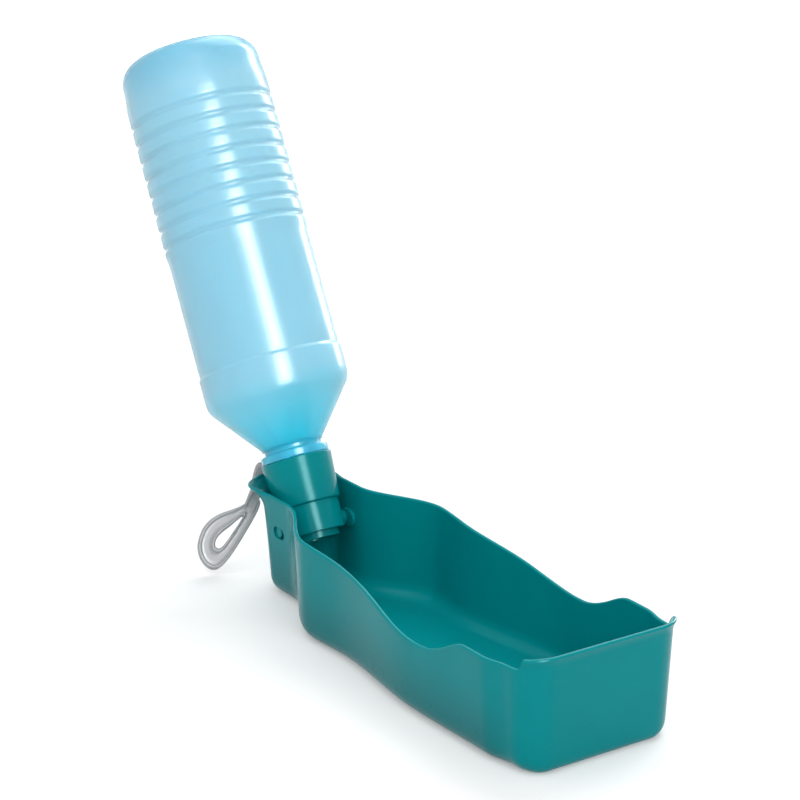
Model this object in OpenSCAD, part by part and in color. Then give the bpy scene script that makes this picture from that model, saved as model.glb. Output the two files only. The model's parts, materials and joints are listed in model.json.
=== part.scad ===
// Travel water bottle for dogs: a squeeze bottle screwed into a hinged cap that pivots in a drinking trough.
// Millimetres. +X runs along the trough to its drinking end, +Z is up, and the origin is the centre
// of the trough's flat underside. "Station" means a distance along the bottle's axis from the pivot.

/* [Trough] */
// From the origin forward to the outside of the front wall, at the rim
trough_front = 114; // [112:1:122]
// From the origin back to the pivot axis
pivot_back = 100; // [98:1:103]
// Depth of the pivot axis below the rim of the hinge end
pivot_drop = 16.5; // [15:0.5:17]
// Half width of the narrow hinge end, outside, at the rim
hinge_half = 20.6; // [20.5:0.1:23]
// Half width just in front of the hinge end, where the walls first swell
cheek_half = 37.8; // [34:0.5:42]
// Half width at the waist between the two swells
waist_half = 36.7; // [33:0.5:41]
// Half width of the belly, the widest part
belly_half = 42.6; // [39:0.5:46]
// Half width where the front corners begin
nose_half = 39.8; // [36:0.5:43]
// Plan radius of the two front corners
corner_r = 14; // [10:1:18]
// Height of the rim at the hinge end
rim_back_h = 49.2; // [48:0.2:52]
// Height of the rim at the drinking dip
rim_dip_h = 34.8; // [28:0.5:40]
// Height of the rim at the crest in front of the dip
rim_crest_h = 45.7; // [42:0.5:48]
// Height of the raised front rim
rim_front_h = 51.8; // [50:0.5:54]
// Wall thickness
wall = 1.8; // [1.4:0.1:2.2]
// Floor thickness
floor_t = 2.0; // [1.6:0.1:2.6]
// Outside radius between the side walls and the underside
foot_r = 8.5; // [6:0.5:9.5]
// Outside radius between the front wall and the underside
front_foot_r = 5; // [4:0.5:8]
// Slope of the walls, so that the trough leaves its mould
draft_deg = 2.8; // [1.5:0.1:3.2]
// Further slope of the wall round the back
back_draft_deg = 4.9; // [3:0.1:5.2]
// How far the back rim flares out into a lip
lip_out = 9; // [7:0.5:9.5]
// Height of the wall's flared stretch at the back
lip_h = 7.5; // [6:0.5:9]
// How far the raised front rim flares out
brim_out = 1.6; // [1:0.1:2]

/* [Hinge cap] */
// Lean of the bottle back from upright, where the collar meets the back wall
lean_deg = 28; // [26:0.5:28.5]
// Outside radius of the collar at its open end
collar_r = 16.4; // [16:0.1:16.6]
// Outside radius of the collar at its step
collar_step_r = 14.9; // [14.8:0.1:15.4]
// Station of the collar's open end
collar_top = 30.6; // [30:0.2:32]
// Station of the step between the collar and the barrel
collar_step = 9.3; // [8.8:0.1:10]
// Outside radius of the barrel that carries the pivot pins
barrel_r = 13.8; // [13.6:0.1:14.2]
// How far the barrel reaches below the pivot
barrel_drop = 4.6; // [4:0.1:5.4]
// Wall of the barrel's skirt
skirt_t = 1.4; // [1.2:0.1:1.5]
// Bore radius of the outlet tube
outlet_r = 9; // [8.8:0.1:9.2]
// Wall of the outlet tube
outlet_wall = 1.4; // [1.2:0.1:1.5]
// How far the outlet tube reaches below the pivot
outlet_drop = 7.6; // [6:0.2:9]
// Thickness of the web between the bottle's mouth and the valve
web_t = 2; // [1.6:0.1:2.4]
// Radius of the water hole in the web
web_hole_r = 7; // [6:0.1:7.6]
// Radius of the pivot pins
pin_r = 2.7; // [2.4:0.1:3]
// How far the recess round each pin's end runs on towards the front
pin_slot = 3.2; // [2:0.2:4]
// Height of the pads inside the trough that bear the pins
pad_t = 1.4; // [1:0.1:1.8]
// Radius of the tapered shoulders at the barrel
shoulder_r = 4.6; // [4.2:0.1:4.8]
// Running clearance of a pin in its hole, on the radius
pin_gap = 0.08; // [0.04:0.01:0.1]
// Gap between a shoulder and its pad
shoulder_gap = 0.5; // [0.3:0.1:0.8]

/* [Valve] */
// Thickness of the slit valve's flange
flange_t = 1.2; // [1:0.1:1.4]
// Radius of the valve's dished centre
dish_r = 6; // [5:0.1:6.1]
// Thickness of the dished centre
dish_t = 0.9; // [0.7:0.1:1]
// Depth of the dish below its flange
dish_drop = 2.6; // [2:0.1:3.2]
// Height of the ring that holds the valve in
keeper_h = 3; // [2.4:0.1:3.4]
// Bore radius of that ring
keeper_bore_r = 6.5; // [6.4:0.1:6.8]
// Interference of that ring in the outlet tube
keeper_press = 0.03; // [0.01:0.01:0.05]

/* [Bottle] */
// Outside radius over the ribs
bottle_r = 33.6; // [32.6:0.1:33.8]
// Outside radius of the plain middle
middle_r = 33; // [32:0.1:33.1]
// Outside radius of the smooth neck
neck_r = 12.5; // [12.3:0.1:12.6]
// Radius of the support ring on the neck
support_r = 15.7; // [15:0.1:15.8]
// Thickness of the support ring
support_t = 3.7; // [3:0.1:4]
// Wall thickness of the bottle
bottle_wall = 0.9; // [0.7:0.1:1]
// Wall thickness of the neck
neck_wall = 1.3; // [1.2:0.1:1.5]
// Thickness of the sealing washer
washer_t = 1; // [0.8:0.1:1.2]
// Bore radius of the sealing washer
washer_bore_r = 8.6; // [8:0.1:9]
// Station where the shoulder has reached full width
shoulder_top = 62.5; // [61:0.5:66]
// Station of the step above the shoulder band
band_top = 77.3; // [75:0.5:80]
// Station of the lowest groove
groove_first = 138.7; // [134:0.5:139]
// Distance from groove to groove
groove_pitch = 8.3; // [7.8:0.1:8.4]
// Number of grooves
groove_count = 8; // [5:1:8]
// Depth of a groove
groove_deep = 1.1; // [0.6:0.1:1.3]
// Width of a groove
groove_wide = 4.4; // [3.6:0.1:5]
// Station of the bottle's base
base_top = 227; // [224:0.5:227.5]
// Radius of the rounded edge at the base
base_round = 10; // [7:0.5:12]
// Rise of the dished base
base_dish = 3; // [2:0.5:5]

/* [Strap] */
// Thickness of the ring that sits round the neck, sunk in the collar's end
ring_t = 1.2; // [1:0.1:1.3]
// Outside radius of that ring
ring_r = 14.6; // [14.2:0.1:14.7]
// Thickness of the loop's moulded band
band_t = 4.2; // [3.4:0.2:4.6]
// Width of the stem between the ring and the loop
stem_w = 5.2; // [4.4:0.2:5.6]
// Thickness of the stem where it passes over the lip
stem_t = 2.4; // [1.8:0.2:2.6]
// How far the stem lies to one side of the trough's middle
stem_side = 5.4; // [4.8:0.2:6]
// Length of the loop
loop_len = 34; // [30:0.5:34]
// Measure of the loop's width
loop_w = 13.6; // [12.6:0.2:15]

/* [Hidden] */

teal = [0.03, 0.50, 0.50];
blue = [0.36, 0.76, 0.92, 0.75];
grey = [0.62, 0.63, 0.64];
white = [0.92, 0.92, 0.90];

// Clearances
face_gap = 0.2;       // between flat faces of pieces that only rest together
thread_gap = 0.6;     // between the neck and the collar's bore, on the radius

// Outline of the trough in plan
back_run = 5.5;                         // from the pivot back to the centre of the round back end
swell_run = 8;                          // from the pivot forward: where the hinge end begins to swell,
cheek_run = 50;                         // the first swell,
waist_run = 73;                         // and the waist
pivot_h = rim_back_h - pivot_drop;
back_x = -pivot_back - back_run;
corner_x = trough_front - corner_r;     // centres of the round front corners
corner_y = nose_half - corner_r;
hinge_x = -pivot_back + swell_run;
cheek_x = -pivot_back + cheek_run;
waist_x = -pivot_back + waist_run;
belly_x = 36;
nose_x = 86;
back_steps = 12;
side_steps = 42;

// Rim stations along the trough
slope_run = 40;                         // from the pivot forward to where the rim begins to fall
fall_run = 112;                         // and to the steepest part of its fall
crest_sag = 0.2;                        // how much the crest and the brim sink towards their ends
brim_sag = 0.7;
slope_x = -pivot_back + slope_run;
fall_x = -pivot_back + fall_run;
dip_x = 41;
crest_x = 75;
notch_turn = 66;                        // where on the front corner the rim steps up
brim_turn = 57;
notch_x = corner_x + corner_r * cos(notch_turn);
brim_x = corner_x + corner_r * cos(brim_turn);
brim_h = 3.5;                           // height of the flared stretch of the front rim
lip_turn = 50;                          // how far round the back the lip reaches full width
draft = tan(draft_deg);
back_draft = tan(back_draft_deg);

// Stations along the bottle's axis
web_top = collar_step + web_t;
mouth = web_top + washer_t + face_gap / 2;
ring_foot = collar_top - ring_t;
support_foot = collar_top + face_gap;
groove_last = groove_first + (groove_count - 1) * groove_pitch;
tab_turn = 17;                          // how far round the back the strap's tab points
tab_end = collar_r + 1.6;
inner_wall_y = hinge_half - (rim_back_h - pivot_h) * draft - wall;
pad_face_y = inner_wall_y - pad_t;
bed_skin = 0.8;                         // what is left of a pad behind the recess

function ease(t) = t <= 0 ? 0 : t >= 1 ? 1 : t * t * (3 - 2 * t);
function mix(a, b, t) = a + (b - a) * t;
function ramp(x, x0, x1) = ease((x - x0) / (x1 - x0));

// Half width of the trough at the rim, at a distance x along it
function half_width(x) =
    x < cheek_x ? mix(hinge_half, cheek_half, ramp(x, hinge_x, cheek_x))
    : x < waist_x ? mix(cheek_half, waist_half, ramp(x, cheek_x, waist_x))
    : x < nose_x ? mix(waist_half, belly_half, ramp(x, waist_x, belly_x))
    : mix(belly_half, nose_half, ramp(x, nose_x, corner_x));

// Height of the rim at a distance x along the trough: a smooth curve through knots [x, height, slope]
fall = rim_back_h - rim_dip_h;
rise = rim_crest_h - rim_dip_h;
fall_len = fall_x - slope_x;
rise_len = crest_x - dip_x;
rim_knots = [
    [hinge_x, rim_back_h, 0],
    [slope_x, rim_back_h - 0.045 * fall, -0.25 * fall / fall_len],
    [slope_x + 0.5 * fall_len, rim_back_h - 0.255 * fall, -0.5 * fall / fall_len],
    [fall_x, rim_dip_h + 0.35 * fall, -1.3 * fall / fall_len],
    [dip_x, rim_dip_h, 0],
    [dip_x + 0.09 * rise_len, rim_dip_h, 0],
    [crest_x - 0.44 * rise_len, rim_dip_h + 0.44 * rise, 1.56 * rise / rise_len],
    [crest_x, rim_crest_h, 0],
    [crest_x + 0.47 * rise_len, rim_crest_h - crest_sag, 0],
    [notch_x, rim_crest_h - crest_sag, 0]];
function knot(x, i = 0) = i >= len(rim_knots) - 2 || x < rim_knots[i + 1][0] ? i : knot(x, i + 1);
function bend(a, b, t) =
    let (w = b[0] - a[0], u = t * t, v = t * t * t)
    a[1] * (2 * v - 3 * u + 1) + b[1] * (3 * u - 2 * v) + w * (a[2] * (v - 2 * u + t) + b[2] * (v - u));
function rim_curve(x) =
    let (i = knot(x), a = rim_knots[i], b = rim_knots[i + 1])
    bend(a, b, min(1, max(0, (x - a[0]) / (b[0] - a[0]))));
function rim_height(x) =
    x < notch_x ? rim_curve(x)
    : x < brim_x ? mix(rim_crest_h - crest_sag, rim_front_h - brim_sag, (x - notch_x) / (brim_x - notch_x))
    : mix(rim_front_h - brim_sag, rim_front_h, ramp(x, brim_x, trough_front));

// Outline points of the +Y half from back to front:
// [x, y, normal x, normal y, flare of the rim, height of the flare, slope of the wall, foot radius]
function side_slope(x) = half_width(x + 0.5) - half_width(x - 0.5);
function unit(v) = v / norm(v);
function back_point(i) =
    let (turn = 90 * (1 - i / back_steps), a = 90 + turn)
    [back_x + hinge_half * cos(a), hinge_half * sin(a), cos(a), sin(a),
     lip_out * ease(turn / lip_turn), lip_h, draft + back_draft * ease(turn / 45), foot_r];
function side_point(i) =
    let (x = mix(back_x, corner_x, i / side_steps), n = unit([-side_slope(x), 1]))
    [x, half_width(x), n[0], n[1], 0, lip_h, draft, foot_r];
corner_turns = [78, notch_turn, brim_turn, 46, 34, 22, 11, 0];
function corner_point(i) =
    let (a = corner_turns[i - 1])
    [corner_x + corner_r * cos(a), corner_y + corner_r * sin(a), cos(a), sin(a),
     a > brim_turn ? 0 : brim_out, brim_h, draft, mix(front_foot_r, foot_r, ease(a / 90))];
front_point = [trough_front, 0, 1, 0, brim_out, brim_h, draft, front_foot_r];

half_outline = concat(
    [for (i = [0:back_steps]) back_point(i)],
    [for (i = [1:side_steps]) side_point(i)],
    [for (i = [1:len(corner_turns)]) corner_point(i)],
    [front_point]);
half_n = len(half_outline) - 1;
outline = concat(
    half_outline,
    [for (i = [half_n - 1:-1:1]) let (p = half_outline[i]) [p[0], -p[1], p[2], -p[3], p[4], p[5], p[6], p[7]]]);
outline_n = len(outline);

// One point of a wall: in from the rim's outline by the draft and the inset, out by the flare.
// The flare starts lower outside than inside, so that the lip keeps its thickness.
function wall_point(p, inset, z, rim) =
    let (h = p[5] + (inset > 0 ? 0 : wall * 0.9),
         flare = p[4] * pow(max(0, (z - rim + h) / h), 2),
         d = (rim - z) * p[6] + inset - flare)
    [p[0] - p[2] * d, p[1] - p[3] * d, z];

foot_steps = 4;
lip_steps = 4;
// Heights and insets of the rings of a shell, from its bottom to the rim, for one outline point
function shell_rows(p, bottom, inset) =
    let (rim = rim_height(p[0]), r = p[7] - inset)
    concat(
        [for (j = [0:foot_steps]) let (a = 90 * j / foot_steps)
            wall_point(p, inset + r * (1 - sin(a)), bottom + r * (1 - cos(a)), rim)],
        [wall_point(p, inset, mix(bottom + r, rim - p[5], 0.5), rim)],
        [for (j = [0:lip_steps]) wall_point(p, inset, rim - p[5] * (1 - j / lip_steps), rim)]);

rows = foot_steps + lip_steps + 3;
shell_points = concat(
    [for (p = outline) each shell_rows(p, 0, 0)],
    [for (p = outline) each shell_rows(p, floor_t, wall)]);

function at(i, j, shell) = (shell * outline_n + (i % outline_n)) * rows + j;
outer_faces = [for (i = [0:outline_n - 1], j = [0:rows - 2])
    each [[at(i, j, 0), at(i + 1, j + 1, 0), at(i, j + 1, 0)], [at(i, j, 0), at(i + 1, j, 0), at(i + 1, j + 1, 0)]]];
inner_faces = [for (i = [0:outline_n - 1], j = [0:rows - 2])
    each [[at(i, j, 1), at(i, j + 1, 1), at(i + 1, j + 1, 1)], [at(i, j, 1), at(i + 1, j + 1, 1), at(i + 1, j, 1)]]];
rim_faces = [for (i = [0:outline_n - 1])
    each [[at(i, rows - 1, 0), at(i + 1, rows - 1, 1), at(i, rows - 1, 1)],
          [at(i, rows - 1, 0), at(i + 1, rows - 1, 0), at(i + 1, rows - 1, 1)]]];
// The underside and the floor are flat ladders between the two mirrored halves
function rung(a, b, c, up) = up ? [a, b, c] : [a, c, b];
function ladder(shell, up) = [for (i = [0:half_n - 2])
    let (a = at(i, 0, shell), b = at(i + 1, 0, shell), front = at(half_n, 0, shell),
         c = at(outline_n - i - 1, 0, shell), d = at(outline_n - i, 0, shell))
    each (i == 0 ? [rung(a, b, c, up)]
        : i == half_n - 2 ? [rung(a, b, front, up), rung(a, front, c, up), rung(a, c, d, up)]
        : [rung(a, b, c, up), rung(a, c, d, up)])];

module trough() color(teal)
    difference() {
        union() {
            polyhedron(shell_points, concat(outer_faces, inner_faces, rim_faces, ladder(0, false), ladder(1, true)));
            pin_bed(pin_r + pin_gap + 1.2, pad_face_y, inner_wall_y + wall * 0.6, true);
        }
        translate([-pivot_back, 0, pivot_h])
            rotate([90, 0, 0])
                cylinder(h = 3 * hinge_half, r = pin_r + pin_gap, center = true, $fn = 48);
        pin_bed(pin_r + pin_gap, pad_face_y + bed_skin, 1.5 * hinge_half, false);
    }

// Round-ended pads or recesses at both pivots, from one distance from the middle to another
module pin_bed(r, near, far, round_back)
    for (side = [-1, 1])
        translate([-pivot_back, side * near, pivot_h])
            rotate([-90 * side, 0, 0]) {
                if (round_back) cylinder(h = far - near, r = r, $fn = 48);
                translate([pin_slot, 0, 0])
                    cylinder(h = far - near, r = r, $fn = 48);
                translate([0, -r, 0])
                    cube([pin_slot, 2 * r, far - near]);
            }

// Everything on the bottle's axis is drawn upright from the pivot and leaned back
module on_axis() translate([-pivot_back, 0, pivot_h]) rotate([0, -lean_deg, 0]) children();

// The collar's end has a seat for the strap's ring, open at the back where the strap passes out
seat_r = ring_r + 0.3;
seat_foot = ring_foot - face_gap;
module hinge_cap() color(teal) on_axis() {
    difference() {
        cap_body();
        rotate([0, 0, 180 + tab_turn])
            translate([neck_r + thread_gap + 0.2, -stem_w / 2 - 0.3, seat_foot])
                cube([collar_r, stem_w + 0.6, collar_r]);
    }
    for (side = [-1, 1]) rotate([-90 * side, 0, 0]) {
        translate([0, 0, outlet_r + outlet_wall / 2])
            cylinder(h = pad_face_y - shoulder_gap - outlet_r - outlet_wall / 2,
                     r1 = shoulder_r + 0.6, r2 = pin_r + 0.7, $fn = 48);
        translate([0, 0, outlet_r + outlet_wall])
            cylinder(h = inner_wall_y + wall / 2 - outlet_r - outlet_wall, r = pin_r, $fn = 48);
    }
}
module cap_body()
    rotate_extrude($fn = 96)
        polygon([
            [neck_r + thread_gap, seat_foot], [seat_r, seat_foot], [seat_r, collar_top],
            [collar_r - 0.5, collar_top], [collar_r, collar_top - 0.5],
            [collar_step_r, collar_step], [barrel_r + 0.2, collar_step - 0.2], [barrel_r, collar_step - 0.6],
            [barrel_r - 0.2, 0.4 - barrel_drop], [barrel_r - 0.6, -barrel_drop],
            [barrel_r - skirt_t, -barrel_drop], [barrel_r - skirt_t, collar_step - web_t],
            [outlet_r + outlet_wall, collar_step - web_t], [outlet_r + outlet_wall, -outlet_drop],
            [outlet_r, -outlet_drop], [outlet_r, collar_step], [web_hole_r, collar_step],
            [web_hole_r, web_top], [neck_r + thread_gap, web_top]]);

// One groove as seen in the bottle's section: a half cosine dip
groove_points = 6;
function groove(station, r) = [for (i = [0:groove_points])
    let (u = i / groove_points)
    [r - groove_deep * (1 - cos(360 * u)) / 2, station + groove_wide * (u - 0.5)]];

// Section of the bottle's body from the neck to the base, at a distance `in` inside its surface
shoulder_foot = support_foot + support_t + 3.4;
neck_top_r = neck_r + 0.8;
shoulder_round = 6;
function body_section(in) = concat(
    [[neck_top_r - in, shoulder_foot - 1], [neck_top_r + 1 - in, shoulder_foot + 1 + in * 0.7]],
    [for (a = [45:-15:0]) [bottle_r - shoulder_round * (1 - cos(a)) - in, shoulder_top - shoulder_round * sin(a) + in * 0.4]],
    [[bottle_r - in, band_top - 1.2], [middle_r - 0.2 - in, band_top], [middle_r - in, band_top + 4]],
    [[middle_r - in, groove_first - groove_pitch]],
    [for (k = [0:groove_count - 1]) each groove(groove_first + k * groove_pitch, bottle_r - in)],
    [[bottle_r - 0.3 - in, groove_last + groove_pitch * 0.7]],
    [for (a = [8:16:88]) [bottle_r - 1.2 - base_round * (1 - cos(a)) - in, base_top - base_round * (1 - sin(a)) - in]],
    [[bottle_r - 1.2 - base_round - 3, base_top - in], [0, base_top - base_dish - in]]);

module bottle() color(blue) on_axis()
    rotate_extrude($fn = 96)
        polygon(concat(
            [[neck_r - neck_wall, mouth], [neck_r, mouth], [neck_r, support_foot],
             [support_r - 0.3, support_foot], [support_r, support_foot + 0.3],
             [support_r, support_foot + support_t - 0.5], [neck_top_r, support_foot + support_t]],
            body_section(0),
            [for (i = [len(body_section(0)) - 1:-1:0]) body_section(bottle_wall)[i]],
            [[neck_r - neck_wall, shoulder_foot - 2.5]]));

module seal_washer() color(white) on_axis()
    translate([0, 0, web_top])
        rotate_extrude($fn = 72)
            polygon([[washer_bore_r, 0], [neck_r, 0], [neck_r, washer_t], [washer_bore_r, washer_t]]);

// Slit valve: a flat flange that is clamped under the web, and a dished centre that opens when squeezed
valve_top = collar_step - face_gap / 2;
module slit_valve() color(white) on_axis()
    translate([0, 0, valve_top - flange_t])
        rotate_extrude($fn = 72)
            polygon(concat(
                [[outlet_r - face_gap, 0], [outlet_r - face_gap, flange_t], [dish_r - dish_t, flange_t]],
                [for (a = [0:15:90]) [(dish_r - dish_t) * cos(a), flange_t - dish_drop * sin(a)]],
                [for (a = [90:-15:0]) [dish_r * cos(a), -(dish_drop + dish_t - flange_t) * sin(a)]]));

module valve_keeper() color(teal) on_axis()
    translate([0, 0, valve_top - flange_t - keeper_h])
        rotate_extrude($fn = 72)
            polygon([
                [keeper_bore_r + 0.5, 0], [outlet_r - 0.3, 0], [outlet_r + keeper_press, 0.4],
                [outlet_r + keeper_press, keeper_h - 0.05], [keeper_bore_r, keeper_h - 0.05], [keeper_bore_r, 0.5]]);

// Strap: a flat ring round the neck, a stem that passes over the back lip, and a moulded loop that
// hangs behind the hinge end. The loop lies in a plane of its own, twisted towards the trough's side.
lip_edge = [back_x - hinge_half - lip_out, -stem_side, rim_back_h];
// The stem's route past the edge of the lip, in thicknesses of the stem
stem_route = [[0.8, 0, 1.5], [-0.54, 0, 0.75], [-1.46, 0, -0.88], [-2.12, -0.04, -2.8], [-2.54, -0.12, -4.96]];
loop_start = lip_edge + stem_t * [-2.62, -0.38, -7.25];
loop_down = unit([-0.048, -0.670, -0.741]);
loop_side = unit(cross(cross(loop_down, [-0.610, -0.567, 0.553]), loop_down));
loop_face = cross(loop_down, loop_side);
// The loop's outline and its slot in that plane, as shares of the loop's length and width
loop_edge = [
    [-0.04, 0.17], [0.11, 0.26], [0.25, 0.46], [0.38, 0.69], [0.53, 0.87], [0.7, 0.92], [0.86, 0.82], [0.97, 0.67],
    [1.06, 0.42], [1.11, 0.08], [1.09, -0.2], [1, -0.36], [0.79, -0.42], [0.46, -0.38], [0.07, -0.27], [-0.07, -0.11]];
loop_slot = [[0.21, 0], [0.47, 0.34], [0.62, 0.43], [0.73, 0.4], [0.81, 0.26], [0.81, 0.07], [0.73, -0.03], [0.55, -0.02]];
tube_sides = 12;
// Smooth curve through four points, for t from 0 to 1 between the middle two
function spline(p0, p1, p2, p3, t) = 0.5 * (2 * p1 + (p2 - p0) * t
    + (2 * p0 - 5 * p1 + 4 * p2 - p3) * t * t + (3 * p1 - p0 - 3 * p2 + p3) * t * t * t);
function round_path(path, u) =
    let (n = len(path), s = u * n, i = floor(s))
    spline(path[(i + n - 1) % n], path[i % n], path[(i + 1) % n], path[(i + 2) % n], s - i);
function open_path(path, u) =
    let (n = len(path) - 1, s = min(u * n, n - 0.0001), i = floor(s))
    spline(path[max(i - 1, 0)], path[i], path[i + 1], path[min(i + 2, n)], s - i);
// One ring of a band's surface: `along` is its direction, `face` the direction it is thin in
function band_ring(p, along, face, w, t) =
    let (wide = unit(cross(unit(along), face)), thin = cross(wide, unit(along)))
    [for (m = [0:tube_sides - 1]) let (a = 360 * m / tube_sides)
        p + wide * w / 2 * sign(cos(a)) * pow(abs(cos(a)), 0.7) - thin * t / 2 * sign(sin(a)) * pow(abs(sin(a)), 0.7)];
function tube_faces(n) = [for (k = [0:n - 2], m = [0:tube_sides - 1])
    let (a = k * tube_sides + m, b = k * tube_sides + (m + 1) % tube_sides,
         c = (k + 1) * tube_sides + (m + 1) % tube_sides, d = (k + 1) * tube_sides + m)
    each [[a, c, b], [a, d, c]]];
// A closed outline with three points to each of the path's, moved in or out by d
function plate_edge(path, d) =
    let (n = len(path) * 3)
    [for (k = [0:n - 1])
        let (u = (k + 0.5) / n, v = unit(round_path(path, u + 1.005) - round_path(path, u + 0.995)))
        round_path(path, u + 1) + d * [-v[1], v[0]]];
module loop_band() {
    edge = [for (q = loop_edge) [loop_len * q[0], loop_w * q[1]]];
    slot = [for (q = loop_slot) [loop_len * q[0], loop_w * q[1]]];
    multmatrix([
        [loop_down[0], loop_side[0], loop_face[0], loop_start[0]],
        [loop_down[1], loop_side[1], loop_face[1], loop_start[1]],
        [loop_down[2], loop_side[2], loop_face[2], loop_start[2]],
        [0, 0, 0, 1]])
        for (layer = [[0.67 * band_t, 0], [0.9 * band_t, band_t / 12], [band_t, band_t / 4]])
            translate([0, 0, -layer[0] / 2])
                linear_extrude(layer[0])
                    difference() {
                        polygon(plate_edge(edge, -layer[1]));
                        polygon(plate_edge(slot, layer[1]));
                    }
}
// The stem starts on a flat tab of the ring and ends inside the head of the loop
tab_point = [-pivot_back, 0, pivot_h]
    + (ring_foot + ring_t / 2) * [-sin(lean_deg), 0, cos(lean_deg)]
    + tab_end * [-cos(lean_deg) * cos(tab_turn), -sin(tab_turn), -sin(lean_deg) * cos(tab_turn)];
stem_steps = 14;
outward = loop_face[0] < 0 ? loop_face : -loop_face;
module stem() {
    path = concat([tab_point], [for (q = stem_route) lip_edge + stem_t * q], [loop_start + loop_down * stem_t / 1.5]);
    rings = [for (k = [0:stem_steps])
        let (u = k / stem_steps, late = ease(u * 2 - 1), p = open_path(path, u),
             along = open_path(path, min(1, u + 0.01)) - open_path(path, max(0, u - 0.01)),
             out = unit([p[0] + pivot_back, 0, p[2] - pivot_h]))
        band_ring(p, along, unit(mix(out, outward, late)),
                  stem_w, mix(stem_t, 0.8 * band_t, late))];
    last = (stem_steps + 1) * tube_sides;
    polyhedron(
        concat([for (r = rings) each r], [open_path(path, 0), open_path(path, 1)]),
        concat(tube_faces(stem_steps + 1),
            [for (m = [0:tube_sides - 1]) [last, m, (m + 1) % tube_sides]],
            [for (m = [0:tube_sides - 1]) [last + 1, last - tube_sides + (m + 1) % tube_sides, last - tube_sides + m]]));
}
module wrist_strap() color(grey) {
    on_axis()
        translate([0, 0, ring_foot]) {
            rotate_extrude($fn = 96)
                polygon([[neck_r + 0.4, 0], [ring_r, 0], [ring_r, ring_t], [neck_r + 0.4, ring_t]]);
            rotate([0, 0, 180 + tab_turn])
                translate([ring_r - 1, -stem_w / 2, 0])
                    cube([tab_end + 1.5 - ring_r, stem_w, ring_t]);
        }
    loop_band();
    stem();
}

trough();
hinge_cap();
bottle();
seal_washer();
slit_valve();
valve_keeper();
wrist_strap();
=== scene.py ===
"""The looks of a travel water bottle for dogs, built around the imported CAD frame.

Everything is in metres, in the frame of the CAD: +X runs along the trough to its drinking end, +Z is up,
and the origin is the centre of the trough's underside. "Station" is a distance along the bottle's axis
from the pivot.
"""

import json
import math

import bmesh
import bpy
import numpy as np
from bpy.props import FloatProperty, FloatVectorProperty, IntProperty, PointerProperty
from mathutils import Matrix, Vector


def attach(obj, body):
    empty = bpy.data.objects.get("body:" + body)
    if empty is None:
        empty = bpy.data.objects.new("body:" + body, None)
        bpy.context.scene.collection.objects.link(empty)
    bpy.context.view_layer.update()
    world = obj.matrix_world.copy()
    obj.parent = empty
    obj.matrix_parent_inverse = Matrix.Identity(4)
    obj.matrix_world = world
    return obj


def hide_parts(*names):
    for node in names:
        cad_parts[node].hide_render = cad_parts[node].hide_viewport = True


bl_info = {
    "name": "Dog travel water bottle",
    "version": (1, 0, 0),
    "blender": (4, 5, 0),
    "location": "3D View > Sidebar > Water bottle",
    "description": "Builds a folding drinking trough, its squeeze bottle, cap and wrist strap",
    "category": "Add Mesh",
}

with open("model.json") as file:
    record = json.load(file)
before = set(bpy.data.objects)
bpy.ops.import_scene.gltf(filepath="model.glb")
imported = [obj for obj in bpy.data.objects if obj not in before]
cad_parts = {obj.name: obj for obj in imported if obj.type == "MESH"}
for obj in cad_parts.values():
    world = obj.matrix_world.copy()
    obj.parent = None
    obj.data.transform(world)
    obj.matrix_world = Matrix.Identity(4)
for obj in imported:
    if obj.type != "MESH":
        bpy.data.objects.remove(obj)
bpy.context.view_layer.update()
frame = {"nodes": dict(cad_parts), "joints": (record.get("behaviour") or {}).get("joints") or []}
JOINTS = {joint["name"]: joint for joint in frame["joints"]}
PIVOT = Vector(JOINTS["cap_tilt"]["pos_m"])
AXIS = Vector(JOINTS["bottle_turn"]["axis"]).normalized()
LEAN = math.atan2(-AXIS.x, AXIS.z)
ON_AXIS = Matrix.Translation(PIVOT) @ Matrix.Rotation(-LEAN, 4, "Y")
MM = 0.001

# The camera, as solved from the photograph
CAMERA_AT = (0.81892, -0.58355, 0.44860)
CAMERA_YAW = 34.49  # degrees from +X towards -Y
CAMERA_PITCH = 18.15  # degrees down
CAMERA_LENS, CAMERA_SENSOR = 114.75, 36  # millimetres


# ---------------- sizes and colours


def length(name, default, note):
    return FloatProperty(name=name, default=default, min=0, unit="LENGTH", precision=5, description=note)


def colour(name, default, note):
    return FloatVectorProperty(name=name, default=default, size=3, min=0, max=1, subtype="COLOR", description=note)


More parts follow.
